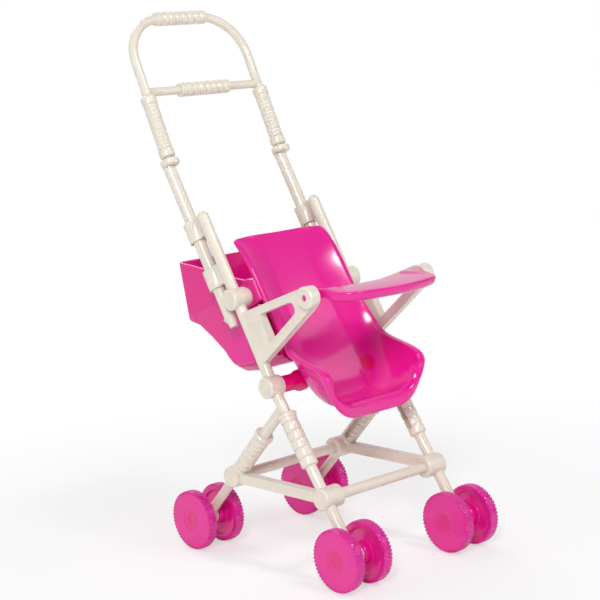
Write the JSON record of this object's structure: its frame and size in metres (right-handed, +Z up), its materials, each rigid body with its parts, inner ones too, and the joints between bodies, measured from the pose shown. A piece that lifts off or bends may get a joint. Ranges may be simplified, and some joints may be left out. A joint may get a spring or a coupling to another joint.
{
  "type": "doll stroller",
  "caption": "Upright doll stroller with sliding loop handle, scoop seat, swing-up tray, rear basket and twin wheels.",
  "frame": {"origin": "on the ground, under the middle of the overall width and length", "axes": "+X to the stroller's left, -Y to its front, +Z up"},
  "size_m": [0.0722, 0.1246, 0.2004],
  "materials": {
    "ivory_plastic": "glossy moulded",
    "pink_plastic": "glossy moulded, slightly translucent"
  },
  "bodies": {
    "frame": {"left_side_frame": "ivory_plastic", "right_side_frame": "ivory_plastic", "front_cross_bar": "ivory_plastic", "rear_cross_bar": "ivory_plastic", "seat": "pink_plastic", "basket": "pink_plastic"},
    "handle": {"handle": "ivory_plastic"},
    "tray": {"tray": "pink_plastic"},
    "left_front_wheels": {"left_front_axle": "pink_plastic", "left_front_outer_wheel": "pink_plastic", "left_front_inner_wheel": "pink_plastic"},
    "left_rear_wheels": {"left_rear_axle": "pink_plastic", "left_rear_outer_wheel": "pink_plastic", "left_rear_inner_wheel": "pink_plastic"},
    "right_front_wheels": {"right_front_axle": "pink_plastic", "right_front_outer_wheel": "pink_plastic", "right_front_inner_wheel": "pink_plastic"},
    "right_rear_wheels": {"right_rear_axle": "pink_plastic", "right_rear_outer_wheel": "pink_plastic", "right_rear_inner_wheel": "pink_plastic"}
  },
  "joints": [
    {"name": "handle_slide", "type": "slide", "parent": "frame", "child": "handle", "axis": [0, 0.4894, 0.8721], "range_m": [-0.0225, 0.0105]},
    {"name": "tray_tilt", "type": "hinge", "parent": "frame", "child": "tray", "pos_m": [0, -0.0368, 0.10046], "axis": [-1, 0, 0], "range_deg": [0, 100]},
    {"name": "left_front_spin", "type": "hinge", "parent": "frame", "child": "left_front_wheels", "pos_m": [0.0275, -0.05102, 0.01125], "axis": [1, 0, 0], "continuous": true},
    {"name": "left_rear_spin", "type": "hinge", "parent": "frame", "child": "left_rear_wheels", "pos_m": [0.0275, 0.02748, 0.01125], "axis": [1, 0, 0], "continuous": true},
    {"name": "right_front_spin", "type": "hinge", "parent": "frame", "child": "right_front_wheels", "pos_m": [-0.0275, -0.05102, 0.01125], "axis": [1, 0, 0], "continuous": true},
    {"name": "right_rear_spin", "type": "hinge", "parent": "frame", "child": "right_rear_wheels", "pos_m": [-0.0275, 0.02748, 0.01125], "axis": [1, 0, 0], "continuous": true}
  ]
}
